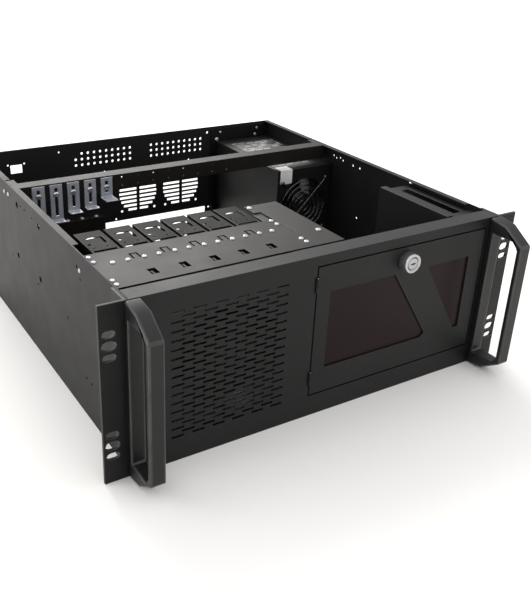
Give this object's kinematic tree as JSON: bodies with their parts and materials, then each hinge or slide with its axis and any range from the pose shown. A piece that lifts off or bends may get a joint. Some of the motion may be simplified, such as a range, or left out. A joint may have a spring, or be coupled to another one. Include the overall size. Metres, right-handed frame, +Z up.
{
  "type": "nas enclosure",
  "caption": "Open-topped rack-mount storage enclosure with slotted front, lockable windowed door, ears, handles, upright drive trays, card bar and power supply.",
  "frame": {"origin": "centre of the overall box in X and Y, at the underside of the case", "axes": "+X right seen from the front, +Y to the back, +Z up"},
  "size_m": [0.4826, 0.495, 0.177],
  "materials": {
    "painted_black": "satin black powder coat",
    "painted_grey": "satin black powder coat",
    "zinc": "bright zinc plate",
    "chrome": "polished chrome",
    "black_plastic": "black moulded plastic",
    "smoked_acrylic": "smoked reddish-brown acrylic"
  },
  "bodies": {
    "case": {"front_panel": "painted_black", "rear_panel": "painted_black", "rack_ear_left": "painted_black", "rack_ear_right": "painted_black", "cage_side_left": "painted_black", "cage_side_right": "painted_black", "cage_divider_1": "painted_black", "cage_divider_2": "painted_black", "cage_divider_3": "painted_black", "cage_divider_4": "painted_black", "cage_divider_5": "painted_black", "psu_case": "painted_black", "control_pan": "painted_black", "hinge_leaf_case_lower": "painted_black", "hinge_leaf_case_upper": "painted_black", "chassis_tray": "painted_grey", "handle_left": "painted_grey", "handle_right": "painted_grey", "card_bar": "painted_grey", "cage_cover": "painted_grey", "cage_support": "painted_grey", "bay_bracket": "painted_grey", "slot_cover_1": "painted_grey", "slot_cover_2": "painted_grey", "slot_cover_3": "painted_grey", "slot_cover_4": "painted_grey", "slot_cover_5": "painted_grey", "slot_cover_6": "painted_grey", "slot_cover_7": "painted_grey", "drive_tray_1": "painted_grey", "drive_tray_2": "painted_grey", "drive_tray_3": "painted_grey", "drive_tray_4": "painted_grey", "drive_tray_5": "painted_grey", "drive_tray_6": "painted_grey", "hinge_pin_lower": "zinc", "hinge_pin_upper": "zinc", "psu_fan_guard": "chrome", "intake_fan_frame": "black_plastic", "psu_fan_frame": "black_plastic", "psu_inlet": "black_plastic", "switch_block": "black_plastic"},
    "door": {"door_panel": "painted_black", "door_window_left": "smoked_acrylic", "door_window_right": "smoked_acrylic", "hinge_leaf_door_lower": "painted_black", "hinge_leaf_door_upper": "painted_black", "lock_barrel": "chrome"},
    "lock": {"lock_plug": "chrome", "lock_cam": "zinc"},
    "intake_rotor": {"intake_fan_rotor": "black_plastic"},
    "psu_rotor": {"psu_fan_rotor": "black_plastic"},
    "psu_rocker": {"psu_switch": "black_plastic"},
    "power_key": {"power_button": "black_plastic"},
    "reset_key": {"reset_button": "black_plastic"},
    "hold_down_1": {"card_hold_down_1": "zinc"},
    "hold_down_2": {"card_hold_down_2": "zinc"},
    "hold_down_3": {"card_hold_down_3": "zinc"},
    "hold_down_4": {"card_hold_down_4": "zinc"},
    "hold_down_5": {"card_hold_down_5": "zinc"}
  },
  "joints": [
    {"name": "door_hinge", "type": "hinge", "parent": "case", "child": "door", "pos_m": [-0.0225, -0.2031, 0.095], "axis": [0, 0, -1], "range_deg": [0, 110]},
    {"name": "lock_turn", "type": "hinge", "parent": "door", "child": "lock", "pos_m": [0.0878, -0.2025, 0.1505], "axis": [0, -1, 0], "range_deg": [0, 90]},
    {"name": "intake_fan_spin", "type": "hinge", "parent": "case", "child": "intake_rotor", "pos_m": [-0.11545, -0.1885, 0.09041], "axis": [0, 1, 0], "continuous": true},
    {"name": "psu_fan_spin", "type": "hinge", "parent": "case", "child": "psu_rotor", "pos_m": [0.17, 0.1, 0.102], "axis": [0, 1, 0], "continuous": true},
    {"name": "psu_rocker_tilt", "type": "hinge", "parent": "case", "child": "psu_rocker", "pos_m": [0.187, 0.2455, 0.027], "axis": [1, 0, 0], "range_deg": [0, 18]},
    {"name": "power_press", "type": "slide", "parent": "case", "child": "power_key", "axis": [0, 1, 0], "range_m": [0, 0.0025], "stiffness_N_per_m": 300},
    {"name": "reset_press", "type": "slide", "parent": "case", "child": "reset_key", "axis": [0, 1, 0], "range_m": [0, 0.002], "stiffness_N_per_m": 300},
    {"name": "hold_down_slide_1", "type": "slide", "parent": "case", "child": "hold_down_1", "axis": [0, 0, -1], "range_m": [0, 0.006]},
    {"name": "hold_down_slide_2", "type": "slide", "parent": "case", "child": "hold_down_2", "axis": [0, 0, -1], "range_m": [0, 0.006]},
    {"name": "hold_down_slide_3", "type": "slide", "parent": "case", "child": "hold_down_3", "axis": [0, 0, -1], "range_m": [0, 0.006]},
    {"name": "hold_down_slide_4", "type": "slide", "parent": "case", "child": "hold_down_4", "axis": [0, 0, -1], "range_m": [0, 0.006]},
    {"name": "hold_down_slide_5", "type": "slide", "parent": "case", "child": "hold_down_5", "axis": [0, 0, -1], "range_m": [0, 0.006]}
  ]
}
